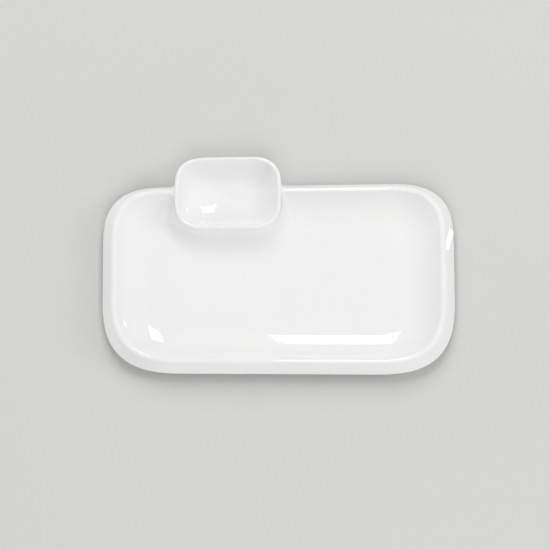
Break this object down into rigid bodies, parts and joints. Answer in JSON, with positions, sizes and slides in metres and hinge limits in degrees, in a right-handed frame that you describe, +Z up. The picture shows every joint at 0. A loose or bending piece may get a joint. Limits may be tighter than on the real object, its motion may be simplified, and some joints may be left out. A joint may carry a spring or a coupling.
{
  "type": "platter with sauce dish",
  "caption": "long round-cornered porcelain serving platter with a raised rim, an outward-sloping skirt and a round-cornered sauce dish joined into its back rim",
  "frame": {"origin": "bottom centre of the bounding box, on the table under the foot rings", "axes": "+X runs along the platter's long side to the viewer's right, +Y goes to the back where the sauce dish is, +Z is up"},
  "size_m": [0.33, 0.2133, 0.024],
  "materials": {
    "glazed_porcelain": "gloss",
    "biscuit_porcelain": "matte"
  },
  "bodies": {
    "root": {"platter_tray": "glazed_porcelain", "sauce_dish": "glazed_porcelain", "slip_fillet": "glazed_porcelain", "platter_foot_ring": "biscuit_porcelain", "dish_foot_ring": "biscuit_porcelain"}
  },
  "joints": []
}
